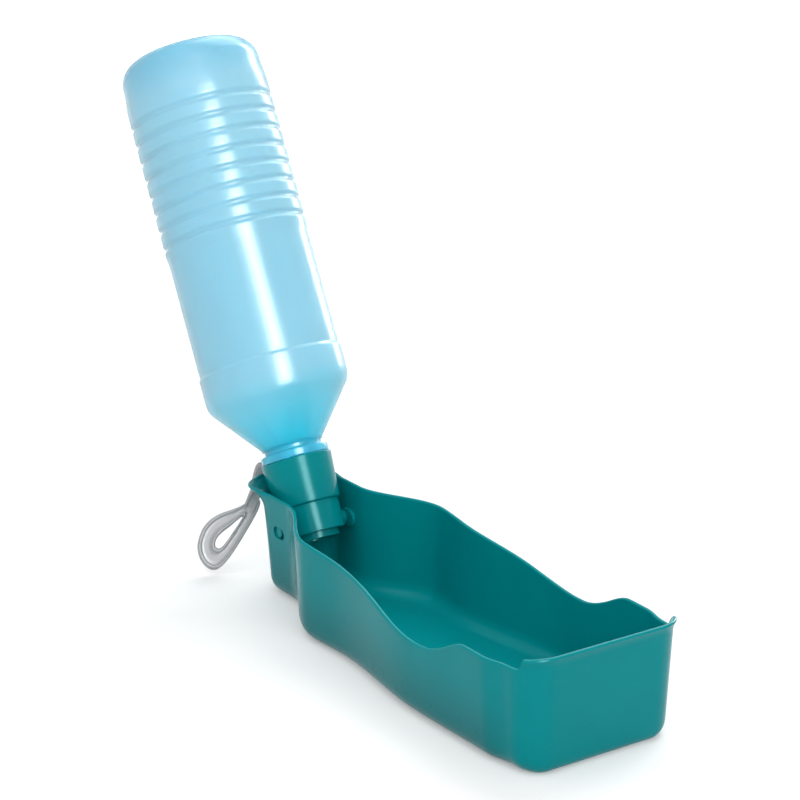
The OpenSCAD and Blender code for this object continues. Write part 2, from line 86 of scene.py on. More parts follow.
class TroughSettings(bpy.types.PropertyGroup):
    """Sizes and colour of the drinking trough"""

    hinge_half: length("Hinge half width", 0.0206, "Half width of the narrow hinge end at the rim")
    cheek_half: length("Cheek half width", 0.0378, "Half width where the walls first swell")
    waist_half: length("Waist half width", 0.0367, "Half width between the two swells")
    belly_half: length("Belly half width", 0.0426, "Half width of the widest part")
    nose_half: length("Nose half width", 0.0398, "Half width where the front corners begin")
    corner: length("Corner radius", 0.014, "Plan radius of the front corners")
    rim_back: length("Rim at the hinge", 0.0492, "Height of the rim at the hinge end")
    rim_dip: length("Rim at the dip", 0.0348, "Height of the rim at the drinking dip")
    rim_crest: length("Rim at the crest", 0.0457, "Height of the rim in front of the dip")
    rim_front: length("Front rim", 0.0514, "Height of the raised front rim")
    wall: length("Wall", 0.0018, "Thickness of the walls")
    floor: length("Floor", 0.0020, "Thickness of the floor")
    foot: length("Foot radius", 0.0085, "Outside radius between side walls and underside")
    front_foot: length("Front foot radius", 0.0050, "Outside radius between front wall and underside")
    pin: length("Pin radius", 0.0027, "Radius of the pivot pins")
    recess: length("Pin recess", 0.0032, "How far the recess round a pin's end runs on towards the front")
    pad: length("Pad", 0.0014, "Height of the pads inside that bear the pins")
    lip: length("Back lip", 0.0090, "How far the back rim flares out")
    lip_height: length("Lip height", 0.0075, "Height of the flared stretch at the back")
    brim: length("Front brim", 0.0016, "How far the front rim flares out")
    brim_height: length("Brim height", 0.0035, "Height of the flared stretch in front")
    colour: colour("Colour", (0.0, 0.242, 0.262), "Colour of the moulded plastic")


class BottleSettings(bpy.types.PropertyGroup):
    """Sizes of the squeeze bottle"""

    radius: length("Radius", 0.0336, "Outside radius over the ribs")
    middle: length("Middle radius", 0.0330, "Outside radius of the plain middle")
    neck: length("Neck radius", 0.0125, "Outside radius of the neck")
    support: length("Support ring", 0.0157, "Radius of the support ring")
    wall: length("Wall", 0.0009, "Thickness of the bottle's wall")
    groove_first: length("First groove", 0.1387, "Station of the lowest groove")
    groove_pitch: length("Groove pitch", 0.0083, "Distance from groove to groove")
    groove_count: IntProperty(name="Grooves", default=8, min=0, description="Number of grooves")
    groove_depth: length("Groove depth", 0.0011, "Depth of a groove")
    groove_width: length("Groove width", 0.0042, "Width of a groove")
    base: length("Base", 0.2270, "Station of the bottle's base")


class StrapSettings(bpy.types.PropertyGroup):
    """Sizes and colour of the wrist strap"""

    thickness: length("Thickness", 0.0042, "Thickness of the loop's band")
    stem_width: length("Stem width", 0.0052, "Width of the stem over the lip")
    stem_thickness: length("Stem thickness", 0.0024, "Thickness of the stem over the lip")
    loop_length: length("Loop length", 0.034, "Length of the loop")
    loop_width: length("Loop width", 0.0136, "Measure of the loop's width")
    colour: colour("Colour", (0.36, 0.36, 0.37), "Colour of the soft plastic")


# ---------------- shape helpers


def ease(t):
    t = min(1.0, max(0.0, t))
    return t * t * (3 - 2 * t)


def mix(a, b, t):
    return a + (b - a) * t


def ramp(x, start, end):
    return ease((x - start) / (end - start))


def spline(points, u, closed=False):
    """A point on the smooth curve through points, for u from 0 to 1"""
    n = len(points) if closed else len(points) - 1
    s = (u % 1.0) * n if closed else min(u * n, n - 1e-6)
    i, t = int(math.floor(s)), s - math.floor(s)
    pick = (lambda k: points[k % n]) if closed else (lambda k: points[min(max(k, 0), n)])
    a, b, c, d = (Vector(pick(i + k)) for k in (-1, 0, 1, 2))
    return 0.5 * (2 * b + (c - a) * t + (2 * a - 5 * b + 4 * c - d) * t * t + (3 * b - a - 3 * c + d) * t**3)


def bow(a, b, c, t):
    """A point on the curve from a to c that leans towards b"""
    return (1 - t) ** 2 * a + 2 * t * (1 - t) * b + t * t * c


def fillet(corners, steps=5):
    """A polyline from corners (r, station, radius), each corner rounded by its radius"""
    out = []
    n = len(corners)
    for i, (x, y, radius) in enumerate(corners):
        here = Vector((x, y))
        back = Vector(corners[(i - 1) % n][:2]) - here
        on = Vector(corners[(i + 1) % n][:2]) - here
        if radius <= 0 or back.length < 1e-9 or on.length < 1e-9:
            out.append(here)
            continue
        cut = min(radius / math.tan(back.angle(on) / 2), back.length * 0.49, on.length * 0.49)
        start, end = here + back.normalized() * cut, here + on.normalized() * cut
        out += [bow(start, here, end, k / steps) for k in range(steps + 1)]
    return out


def in_metres(corners):
    return [(r * MM, z * MM, radius * MM) for r, z, radius in corners]


def make_piece(name, verts, faces, sharp=35):
    """A smooth mesh object with its edges sharper than so many degrees kept crisp"""
    mesh = bpy.data.meshes.new(name)
    mesh.from_pydata([tuple(v) for v in verts], [], faces)
    mesh.validate()
    piece = bpy.data.objects.new(name, mesh)
    bpy.context.collection.objects.link(piece)
    finish_mesh(piece, sharp)
    return piece


def finish_mesh(piece, sharp=35):
    mesh = piece.data
    mesh.polygons.foreach_set("use_smooth", [True] * len(mesh.polygons))
    mesh.set_sharp_from_angle(angle=math.radians(sharp))
    mesh.update()


def revolve(profile, steps, closed=True, matrix=ON_AXIS):
    """Vertices and faces of a profile [(r, station)] turned round the bottle's axis"""
    verts, faces, rings = [], [], []
    for r, z in profile:
        if r < 1e-7:
            rings.append([len(verts)])
            verts.append(Vector((0, 0, z)))
            continue
        rings.append(list(range(len(verts), len(verts) + steps)))
        for k in range(steps):
            a = 2 * math.pi * k / steps
            verts.append(Vector((r * math.cos(a), r * math.sin(a), z)))
    pairs = list(zip(rings, rings[1:])) + ([(rings[-1], rings[0])] if closed else [])
    for low, high in pairs:
        for k in range(steps):
            j = (k + 1) % steps
            if len(low) == 1 and len(high) == 1:
                continue
            if len(low) == 1:
                faces.append((low[0], high[j], high[k]))
            elif len(high) == 1:
                faces.append((low[k], low[j], high[0]))
            else:
                faces.append((low[k], low[j], high[j], high[k]))
    return [matrix @ v for v in verts], faces


def make_solid(name, verts, faces, sharp=35):
    """A piece of closed shells, with every face turned outwards"""
    piece = make_piece(name, verts, faces, sharp)
    bm = bmesh.new()
    bm.from_mesh(piece.data)
    bmesh.ops.remove_doubles(bm, verts=bm.verts, dist=1e-7)
    bmesh.ops.recalc_face_normals(bm, faces=bm.faces)
    bm.to_mesh(piece.data)
    bm.free()
    return piece


def keep_result(piece):
    """Makes what the modifiers of a piece give its plain mesh"""
    graph = bpy.context.evaluated_depsgraph_get()
    mesh = bpy.data.meshes.new_from_object(piece.evaluated_get(graph))
    piece.modifiers.clear()
    piece.data = mesh


def combine(piece, other, operation):
    """Applies one exact boolean to piece and removes the other object"""
    cut = piece.modifiers.new("combine", "BOOLEAN")
    cut.operation, cut.object, cut.solver = operation, other, "EXACT"
    keep_result(piece)
    bpy.data.objects.remove(other)


def set_material(piece, material):
    piece.data.materials.clear()
    piece.data.materials.append(material)
    piece.data.polygons.foreach_set("material_index", [0] * len(piece.data.polygons))


# ---------------- materials

# The second colour is painted shade: a darker, greyer teal for the lower outside of the trough
WORN_TEAL, FOOT_SHADE_COLOUR = (0.10, 0.36, 0.36, 1), (0.02, 0.115, 0.125, 1)
FOOT_SHADE_TOP, FOOT_SHADE_FULL = 0.036, 0.004  # heights between which the painted shade on the trough's outside grows
# Colours of the bottle, as shares of the way from the pivot to past its base: deeper where the wall is thick,
# and brighter over the neck's cone and shoulder, painted light for the light that reaches them through the plastic
TONES_END = 0.228
BOTTLE_TONES = (
    (0.13, (0.015, 0.60, 0.84)), (0.17, (0.045, 0.80, 0.96)), (0.235, (0.26, 0.81, 0.94)),
    (0.30, (0.43, 0.75, 0.86)), (0.55, (0.43, 0.74, 0.85)), (0.90, (0.48, 0.76, 0.86)), (1.0, (0.26, 0.68, 0.85)),
)
MILK = (0.55, 0.84, 0.95, 1)
SEAM_TURN = -54  # degrees round the bottle to its mould seam
SEAM_HALF, SEAM_STRONG = 0.00035, 0.060  # half its width, and the station up to which it stands out more
SLIT_HALF, SLIT_REACH = 0.00012, 0.0042  # half width and half length of the valve's slits


def set_inputs(tree, made, inputs):
    """Links or sets a node's inputs by name or number: a link when the value is a socket"""
    for key, value in inputs.items():
        if hasattr(value, "is_output"):
            tree.links.new(value, made.inputs[key])
        else:
            made.inputs[key].default_value = value


def node(tree, kind, inputs=None, **settings):
    made = tree.nodes.new(kind)
    for key, value in settings.items():
        setattr(made, key, value)
    set_inputs(tree, made, inputs or {})
    return made


def maths(tree, operation, a, b=0.0, clamp=False):
    return node(tree, "ShaderNodeMath", {0: a, 1: b}, operation=operation, use_clamp=clamp).outputs[0]


def times(tree, a, b):
    return maths(tree, "MULTIPLY", a, b)


def weighted_sum(tree, start, *terms):
    """A start value plus every (source, weight)"""
    for source, weight in terms:
        start = maths(tree, "ADD", start, times(tree, source, weight))
    return start


def blend_colour(tree, factor, a, b):
    return node(tree, "ShaderNodeMix", {0: factor, 6: a, 7: b}, data_type="RGBA").outputs[2]


def noise(tree, position, scale, detail):
    inputs = {"Vector": position, "Scale": scale, "Detail": detail}
    return node(tree, "ShaderNodeTexNoise", inputs, noise_dimensions="3D").outputs["Fac"]


def map_range(tree, value, start, end, low=0.0, high=1.0, kind="LINEAR"):
    """Takes start..end to low..high and stays between them"""
    inputs = {"Value": value, "From Min": start, "From Max": end, "To Min": low, "To Max": high}
    return node(tree, "ShaderNodeMapRange", inputs, interpolation_type=kind).outputs[0]


def bump(tree, height, distance):
    made = node(tree, "ShaderNodeBump", {"Height": height, "Distance": distance, "Strength": 1.0})
    return made.outputs["Normal"]


def moulded_surface():
    """Shared group: the fine grain, slow waviness and faint handling marks of moulded plastic"""
    name = "moulded surface"
    if name in bpy.data.node_groups:
        return bpy.data.node_groups[name]
    tree = bpy.data.node_groups.new(name, "ShaderNodeTree")
    tree.interface.new_socket("Position", in_out="INPUT", socket_type="NodeSocketVector")
    for way, labels in (("INPUT", ("Grain Size", "Grain", "Marks")), ("OUTPUT", ("Height", "Marks", "Cloud"))):
        for label in labels:
            tree.interface.new_socket(label, in_out=way, socket_type="NodeSocketFloat")
    into = node(tree, "NodeGroupInput").outputs
    grain = noise(tree, into["Position"], maths(tree, "DIVIDE", 1.0, into["Grain Size"]), 3.0)
    waves = noise(tree, into["Position"], 38.0, 1.0)
    stretch = {"Vector": into["Position"], "Rotation": (0.4, 0.9, 0.2), "Scale": (900.0, 90.0, 420.0)}
    streaks = noise(tree, node(tree, "ShaderNodeMapping", stretch).outputs[0], 1.0, 4.0)
    worn = times(tree, map_range(tree, streaks, 0.60, 0.72), into["Marks"])
    height = weighted_sum(tree, times(tree, grain, into["Grain"]), (waves, 1.6), (worn, -0.15))
    node(tree, "NodeGroupOutput", {"Height": height, "Marks": worn, "Cloud": waves})
    return tree


def new_material(name):
    """A material, its tree and its Principled shader"""
    material = bpy.data.materials.new(name)
    material.use_nodes = True
    return material, material.node_tree, material.node_tree.nodes["Principled BSDF"]


def start_material(name, grain_size, grain, marks):
    """A new material with Object coordinates and the outputs of the shared surface group"""
    material, tree, shader = new_material(name)
    position = node(tree, "ShaderNodeTexCoord").outputs["Object"]
    inputs = {"Position": position, "Grain Size": grain_size, "Grain": grain, "Marks": marks}
    surface = node(tree, "ShaderNodeGroup", inputs, node_tree=moulded_surface())
    return material, tree, shader, position, surface.outputs


def tint(rgb, factor):
    return tuple(min(1.0, c * factor) for c in rgb) + (1.0,)


def teal_plastic(rgb):
    """Opaque moulded plastic with a satin gloss; painted shade makes the outside darker and greyer towards its foot,
    where its gloss is also duller
    """
    material, tree, shader, position, surface = start_material("teal moulded plastic", 0.00045, 0.25, 0.15)
    marks, cloud = surface["Marks"], surface["Cloud"]
    clean = blend_colour(tree, cloud, tint(rgb, 0.93), tint(rgb, 1.08))
    worn = blend_colour(tree, times(tree, marks, 0.2), clean, WORN_TEAL)
    outside = node(tree, "ShaderNodeAttribute", attribute_name="outside").outputs["Fac"]
    height = node(tree, "ShaderNodeSeparateXYZ", {0: position}).outputs[2]
    low = map_range(tree, height, FOOT_SHADE_TOP, FOOT_SHADE_FULL, kind="SMOOTHSTEP")
    # Painted shade: the outside grows darker and greyer towards its foot, and less glossy there
    painted_shade = times(tree, times(tree, outside, low), weighted_sum(tree, 0.35, (cloud, 0.3)))
    set_inputs(tree, shader, {
        "Base Color": blend_colour(tree, painted_shade, worn, FOOT_SHADE_COLOUR),
        "Roughness": weighted_sum(tree, 0.17, (marks, 0.10), (painted_shade, 0.15), (cloud, 0.06)),
        "IOR": 1.49, "Specular IOR Level": 0.13, "Specular Tint": (0.55, 0.97, 0.97, 1),
        "Normal": bump(tree, surface["Height"], 0.00004)})
    return material


def axis_coordinates(tree, position):
    """Coordinates with Z along the bottle's axis from the pivot"""
    shift = node(tree, "ShaderNodeVectorMath", {0: position, 1: PIVOT}, operation="SUBTRACT")
    inputs = {"Vector": shift.outputs[0], "Angle": LEAN}
    turn = node(tree, "ShaderNodeVectorRotate", inputs, rotation_type="Y_AXIS")
    return node(tree, "ShaderNodeSeparateXYZ", {0: turn.outputs[0]}).outputs


def blue_plastic():
    """Thin blown plastic, milky and translucent, with a faint mould seam"""
    material, tree, shader, position, surface = start_material("blue blown plastic", 0.0011, 0.15, 0.35)
    x, y, station = axis_coordinates(tree, position)
    share = maths(tree, "DIVIDE", station, TONES_END, clamp=True)
    # Deeper where the wall is thick; brighter over the cone and shoulder as painted light
    depth = node(tree, "ShaderNodeValToRGB", {"Fac": share})
    stops = depth.color_ramp.elements
    stops.remove(stops[1])
    for place, rgb in BOTTLE_TONES:
        stops.new(place).color = (*rgb, 1)
    stops.remove(stops[0])
    turn = math.radians(SEAM_TURN)
    side = weighted_sum(tree, times(tree, y, math.cos(turn)), (x, -math.sin(turn)))
    away = maths(tree, "DIVIDE", maths(tree, "ABSOLUTE", side), SEAM_HALF)
    strength = weighted_sum(tree, 0.3, (maths(tree, "LESS_THAN", station, SEAM_STRONG), 1.5))
    seam = times(tree, maths(tree, "SUBTRACT", 1.0, away, clamp=True), strength)
    set_inputs(tree, shader, {
        "Base Color": blend_colour(tree, times(tree, surface["Cloud"], 0.25), depth.outputs["Color"], MILK),
        "Roughness": weighted_sum(tree, 0.22, (surface["Marks"], 0.10)),
        "IOR": 1.45, "Specular IOR Level": 0.2, "Transmission Weight": 0.6,
        "Subsurface Weight": 0.1, "Subsurface Radius": (0.4, 0.8, 1.0), "Subsurface Scale": 0.003,
        "Normal": bump(tree, maths(tree, "ADD", surface["Height"], seam), 0.00005)})
    return material


def grey_plastic(rgb):
    """Soft moulded plastic of the wrist strap, slightly see-through"""
    material, tree, shader, _, surface = start_material("grey soft plastic", 0.0008, 0.35, 0.5)
    set_inputs(tree, shader, {
        "Base Color": blend_colour(tree, surface["Cloud"], tint(rgb, 0.86), tint(rgb, 1.16)),
        "Roughness": weighted_sum(tree, 0.36, (surface["Marks"], 0.2)), "IOR": 1.5,
        "Subsurface Weight": 0.35, "Subsurface Radius": (1.0, 1.0, 1.0), "Subsurface Scale": 0.0025,
        "Normal": bump(tree, surface["Height"], 0.00006)})
    return material


def white_silicone():
    """Soft matt silicone of the washer and the valve, with the valve's two crossed slits pressed in and painted dark
    as painted shade
    """
    material, tree, shader, position, surface = start_material("white silicone", 0.0005, 0.6, 0.2)
    x, y, _ = axis_coordinates(tree, position)
    nearest = maths(tree, "MINIMUM", maths(tree, "ABSOLUTE", x), maths(tree, "ABSOLUTE", y))
    reach = maths(tree, "SQRT", maths(tree, "ADD", times(tree, x, x), times(tree, y, y)))
    narrow, short = maths(tree, "LESS_THAN", nearest, SLIT_HALF), maths(tree, "LESS_THAN", reach, SLIT_REACH)
    # The slits are painted dark grey: painted shade in the cuts
    slit = times(tree, narrow, short)
    cloud = blend_colour(tree, surface["Cloud"], (0.72, 0.72, 0.70, 1), (0.82, 0.82, 0.80, 1))
    set_inputs(tree, shader, {
        "Base Color": blend_colour(tree, slit, cloud, (0.12, 0.12, 0.12, 1)),
        "Roughness": weighted_sum(tree, 0.45, (surface["Marks"], 0.2)),
        "Normal": bump(tree, maths(tree, "SUBTRACT", surface["Height"], slit), 0.00005)})
    return material


# ---------------- the trough

FRONT_X = 0.114  # outside of the front wall at the rim
NOTCH_TURN, BRIM_TURN = 69, 56  # degrees round a front corner to the notch in the rim and to the brim's end
LIP_TURN = 50  # degrees round the back over which the lip dies out
WALL_DRAFT, BACK_DRAFT = 2.8, 4.9  # degrees: the lean of the walls, and what the back has on top
CREST_DROP, BRIM_DROP = 0.0002, 0.0007  # fall of the rim before the notch, and of the brim at its end
SIDE_STEPS, FRONT_STEPS = 130, 12  # steps of the outline along a side and along half the front


def half_width(s, x):
    """Half width of the trough at the rim, at a distance x along it"""
    hinge, cheek, waist, belly, nose = PIVOT.x + 0.008, PIVOT.x + 0.050, PIVOT.x + 0.073, 0.036, 0.086
    front = FRONT_X - s.corner
    if x < cheek:
        return mix(s.hinge_half, s.cheek_half, ramp(x, hinge, cheek))
    if x < waist:
        return mix(s.cheek_half, s.waist_half, ramp(x, cheek, waist))
    if x < nose:
        return mix(s.waist_half, s.belly_half, ramp(x, waist, belly))
    return mix(s.belly_half, s.nose_half, ramp(x, nose, front))


def rim_curve(s, x):
    """Height of the rim behind the raised front, by knots of place, height and slope"""
    fall, rise = s.rim_back - s.rim_dip, s.rim_crest - s.rim_dip
    slope, long_fall, dip, crest = PIVOT.x + 0.040, PIVOT.x + 0.112, 0.041, 0.075
    knots = (
        (PIVOT.x + 0.008, s.rim_back, 0), (slope, s.rim_back - 0.045 * fall, -3.5 * fall),
        (slope + 0.036, s.rim_back - 0.255 * fall, -7 * fall), (long_fall, s.rim_dip + 0.35 * fall, -18 * fall),
        (dip, s.rim_dip, 0), (dip + 0.003, s.rim_dip, 0), (crest - 0.015, s.rim_dip + 0.44 * rise, 46 * rise),
        (crest, s.rim_crest, 0), (crest + 0.016, s.rim_crest - CREST_DROP, 0),
        (FRONT_X, s.rim_crest - CREST_DROP, 0),
    )
    for a, b in zip(knots, knots[1:]):
        if x < b[0] or b is knots[-1]:
            w = b[0] - a[0]
            t = min(1.0, max(0.0, (x - a[0]) / w))
            u, v = t * t, t**3
            return a[1] * (2 * v - 3 * u + 1) + b[1] * (3 * u - 2 * v) + w * (a[2] * (v - 2 * u + t) + b[2] * (v - u))


def on_circle(x, y, radius, degrees):
    """A point of a circle round (x, y), and its normal there"""
    across, up = math.cos(math.radians(degrees)), math.sin(math.radians(degrees))
    return x + radius * across, y + radius * up, across, up


def trough_outline(s):
    """The +Y half of the outline, back to front: place, normal, rim, flare, flare height, draft, foot radius"""
    back_x, corner_x, corner_y = PIVOT.x - 0.0055, FRONT_X - s.corner, s.nose_half - s.corner
    draft, back_draft = math.tan(math.radians(WALL_DRAFT)), math.tan(math.radians(BACK_DRAFT))
    notch_x = corner_x + s.corner * math.cos(math.radians(NOTCH_TURN))
    brim_x = corner_x + s.corner * math.cos(math.radians(BRIM_TURN))
    points = []
    for turn in range(90, -1, -3):
        lean = draft + back_draft * ease(turn / 45)
        points.append((*on_circle(back_x, 0, s.hinge_half, 90 + turn), s.rim_back,
                       s.lip * ease(turn / LIP_TURN), s.lip_height, lean, s.foot))
    for i in range(1, SIDE_STEPS + 1):
        x = mix(back_x, corner_x, i / SIDE_STEPS)
        n = Vector((half_width(s, x - 0.0005) - half_width(s, x + 0.0005), 0.001)).normalized()
        points.append((x, half_width(s, x), n.x, n.y, rim_curve(s, x), 0, s.lip_height, draft, s.foot))
    for turn in (86, 82, 78, 74, 71, *np.linspace(NOTCH_TURN, BRIM_TURN, 12), *range(54, -1, -3)):
        place = on_circle(corner_x, corner_y, s.corner, turn)
        x = place[0]
        step = min(1, max(0, (x - notch_x) / (brim_x - notch_x)))
        if step >= 1:
            rim = mix(s.rim_front - BRIM_DROP, s.rim_front, ramp(x, brim_x, FRONT_X))
        elif x > notch_x:
            rim = mix(s.rim_crest - CREST_DROP, s.rim_front - BRIM_DROP, ease(step))
        else:
            rim = rim_curve(s, x)
        flare = s.brim * ease(max(0, step - 0.45) / 0.5)
        points.append((*place, rim, flare, s.brim_height, draft, mix(s.front_foot, s.foot, ease(turn / 90))))
    for i in range(1, FRONT_STEPS + 1):
        points.append((FRONT_X, corner_y * (1 - i / FRONT_STEPS), 1, 0, s.rim_front, s.brim, s.brim_height, draft,
                       s.front_foot))
    points[0] = (points[0][0], 0.0, -1.0, 0.0) + points[0][4:]
    return points


def wall_column(s, point):
    """One upright section of the trough's wall: up the outside, over the rounded rim, down the inside"""
    x, y, nx, ny, rim, flare, flare_h, draft, foot = point
    nose = s.wall / 2

    def offset(z, inside):
        h = flare_h + (0 if inside else s.wall * 0.9)
        out = flare * max(0, (z - rim + h) / h) ** 2
        return (rim - z) * draft + (s.wall if inside else 0) - out

    def place(d, z):
        return Vector((x - nx * d, y - ny * d, z))

    column = []
    for k in range(8):
        a = math.radians(90 * k / 7)
        z = foot * (1 - math.cos(a))
        column.append(place(offset(z, False) + foot * (1 - math.sin(a)), z))
    top, low = rim - nose, rim - flare_h - s.wall * 0.9
    column += [place(offset(z, False), z) for z in np.linspace(foot, low, 10)[1:]]
    column += [place(offset(z, False), z) for z in np.linspace(low, top, 9)[1:]]
    out, inn = offset(top, False), offset(top, True)
    for k in range(1, 9):
        a = math.pi * k / 9
        column.append(place((out + inn) / 2 - (inn - out) / 2 * math.cos(a), top + nose * math.sin(a)))
    low = rim - flare_h
    column += [place(offset(z, True), z) for z in np.linspace(top, low, 9)]
    inner_foot = foot - s.wall
    column += [place(offset(z, True), z) for z in np.linspace(low, s.floor + inner_foot, 10)[1:]]
    for k in range(1, 8):
        a = math.radians(90 * (1 - k / 7))
        z = s.floor + inner_foot * (1 - math.cos(a))
        column.append(place(offset(z, True) + inner_foot * (1 - math.sin(a)), z))
    return column


def brim_tip(s):
    """The tiny round lug under the far end of the front brim"""
    r, rounding, drop = 0.0008, 0.0004, 0.0055
    section = fillet([(0, 0, 0), (r, 0, rounding), (r, s.brim_height, rounding), (0, s.brim_height, 0)])
    x, y = on_circle(FRONT_X - s.corner, s.nose_half - s.corner, s.corner + s.brim * 0.45, BRIM_TURN - 4)[:2]
    foot = Matrix.Translation((x, y, s.rim_front - drop))
    return make_solid("brim_tip", *revolve(section, 20, closed=False, matrix=foot))


def mark_outside(piece):
    """Stores where the painted shade may lie: on faces that look outwards or down, fading out before the front"""
    spine_end, fade_start, fade_end = 0.09, 0.086, 0.106
    outside = piece.data.attributes.new("outside", "FLOAT", "POINT")
    for v, value in zip(piece.data.vertices, outside.data):
        arm = Vector((v.co.x - min(max(v.co.x, PIVOT.x), spine_end), v.co.y, 0))
        side = v.normal.z < -0.5 or v.normal.dot(arm) > 0.3 * arm.length
        value.value = 1 - ramp(v.co.x, fade_start, fade_end) if side else 0.0


def build_trough(s):
    half = trough_outline(s)
    mirrored = [(p[0], -p[1], p[2], -p[3]) + p[4:] for p in half[-2:0:-1]]
    columns = [wall_column(s, p) for p in half + mirrored]
    n, rows = len(columns), len(columns[0])
    verts = [v for column in columns for v in column]
    faces = []
    for i in range(n):
        j = (i + 1) % n
        faces += [(i * rows + k, i * rows + k + 1, j * rows + k + 1, j * rows + k) for k in range(rows - 1)]
    last = len(half) - 1
    for row in (0, rows - 1):
        at = [i * rows + row for i in range(n)]
        for i in range(last - FRONT_STEPS):
            ring = (at[i], at[i + 1], at[(n - i - 1) % n], at[(n - i) % n])
            faces.append(tuple(v for k, v in enumerate(ring) if v not in ring[:k]))
        faces.append(tuple(at[(last - FRONT_STEPS + k) % n] for k in range(2 * FRONT_STEPS + 1)))
    piece = make_solid("trough_shell", verts, faces)
    inner = s.hinge_half - (s.rim_back - PIVOT.z) * math.tan(math.radians(WALL_DRAFT)) - s.wall
    play, pad_wall, skin, past = 0.00008, 0.0012, 0.0008, 0.05
    bore = s.pin + play
    for side in (-1, 1):
        face = side * (inner - s.pad)
        pad = round_bar("pad", bore + pad_wall, s.recess, face, side * (inner + s.wall * 0.6))
        combine(piece, pad, "UNION")
        combine(piece, round_bar("recess", bore, s.recess, face + side * skin, side * past), "DIFFERENCE")
    combine(piece, round_bar("bore", bore, 0, -past, past), "DIFFERENCE")
    combine(piece, brim_tip(s), "UNION")
    finish_mesh(piece, 32)
    mark_outside(piece)
    return piece


def round_bar(name, r, run, start, end):
    """A bar across the trough at the pivot, round at its back and, after a run forward, at its front"""
    ring = [(r * math.cos(math.radians(a)), r * math.sin(math.radians(a))) for a in np.arange(90, 271, 7.5)]
    ring += [(run - x, -z) for x, z in (ring if run else ring[1:-1])]
    n = len(ring)
    verts = [PIVOT + Vector((x, y, z)) for y in (start, end) for x, z in ring]
    faces = [tuple(range(n)), tuple(range(n, 2 * n))]
    faces += [(k, (k + 1) % n, n + (k + 1) % n, n + k) for k in range(n)]
    return make_solid(name, verts, faces)


# ---------------- the cap

TAB_TURN = 17  # degrees from straight back to where the strap leaves the collar
BOX_FACES = ((0, 1, 2, 3), (4, 5, 6, 7), (0, 1, 5, 4), (1, 2, 6, 5), (2, 3, 7, 6), (3, 0, 4, 7))
# Half sections in millimetres: radius, station or distance out, rounding
CAP_SECTION = (
    (13.1, 29.2, 0.2), (14.9, 29.2, 0.1), (14.9, 30.6, 0.3), (16.4, 30.6, 0.6),
    (15.0, 10.2, 0.2), (14.9, 9.3, 0.7), (13.85, 8.8, 0.35), (13.75, 7.0, 0),
    (13.55, -4.6, 0.6), (12.4, -4.6, 0.3), (12.4, 7.3, 0.4), (10.4, 7.3, 0.4), (10.4, -7.6, 0.5),
    (9.0, -7.6, 0.4), (9.0, 9.3, 0.1), (7.0, 9.3, 0.3), (7.0, 11.3, 0.3), (13.1, 11.3, 0.2),
)
PIN_SECTION = ((0, 9.7, 0), (5.2, 9.7, 0.1), (3.4, 16.1, 0.5), (2.7, 16.1, 0.1), (2.7, 18.9, 0.3), (0, 18.9, 0))


def back_box(name, near, far, half, low, high):
    """A box behind the bottle's axis, turned to where the strap leaves the collar"""
    turned = Matrix.Rotation(math.radians(TAB_TURN), 4, "Z")
    corners = ((-near, half), (-far, half), (-far, -half), (-near, -half))
    verts = [ON_AXIS @ (turned @ Vector((x, y, z))) for z in (low, high) for x, y in corners]
    return make_solid(name, verts, BOX_FACES)


def build_cap():
    """Collar, web, barrel and outlet tube in one section, the gap for the strap, and the two pins"""
    cap = make_solid("cap_moulding", *revolve(fillet(in_metres(CAP_SECTION)), 128))
    combine(cap, back_box("gate", 0.0133, 0.0200, 0.0029, 0.0292, 0.0340), "DIFFERENCE")
    for side in (-1, 1):
        turn = Matrix.Translation(PIVOT) @ Matrix.Rotation(-side * math.pi / 2, 4, "X")
        pin = revolve(fillet(in_metres(PIN_SECTION)), 48, closed=False, matrix=turn)
        combine(cap, make_solid("pin", *pin), "UNION")
    finish_mesh(cap, 32)
    return cap


# ---------------- the bottle

WIDE_PART = 0.026  # the grooves leave everything nearer the axis, such as the inside of the neck, as it is


def bottle_profile(s):
    """Outside of the bottle without its grooves, from the mouth to the middle of the base, as (r, station)"""
    mouth, ring = 0.01242, 30.8 * MM
    low, high = s.groove_first - s.groove_pitch, s.groove_first + s.groove_pitch * (s.groove_count - 0.3)
    neck, full, mid = s.neck, s.radius, s.middle
    points = fillet([
        (neck, mouth, 0.0003), (neck, ring, 0.0004), (s.support, ring, 0.0006), (s.support, ring + 0.0037, 0.0010),
        (neck + 0.0007, ring + 0.0040, 0.0006), (neck + 0.0009, ring + 0.0074, 0.0018)], 4)
    foot, cone = points[-1], Vector((full - 0.0022, 0.0588))
    points += [foot.lerp(cone, k / 6) for k in range(1, 6)]
    points += [bow(cone, Vector((full, 0.0612)), Vector((full, 0.0662)), k / 6) for k in range(7)]
    plain = 0.0850
    points += fillet([(full, 0.0700, 0), (full, 0.0760, 0.0006), (mid - 0.0001, 0.0774, 0.0007), (mid, 0.0790, 0),
                      (mid, plain, 0)], 4)
    points += [Vector((mid, z)) for z in np.linspace(plain, low, 9)[1:]]
    swell_end, step = s.groove_first - 0.002, 0.00042
    points += [Vector((mix(mid, full, ramp(z, low, swell_end)), z)) for z in np.arange(low, high, step)[1:]]
    edge, taper, hollow, flat = 0.0110, 0.0010, 0.0030, 0.06
    edge_z, rim = s.base - edge, full - taper - edge
    points += [Vector((full - taper * ramp(z, high, edge_z), z)) for z in np.linspace(high, edge_z, 8)]
    for k in range(1, 13):
        a = math.radians(90 * k / 12)
        points.append(Vector((full - taper - edge * (1 - math.cos(a)), s.base - edge * (1 - math.sin(a)))))
    points += [Vector((rim * (1 - t), s.base - hollow * ease((t - flat) / 0.6))) for t in np.linspace(flat, 1, 12)]
    points[-1].x = 0
    return points


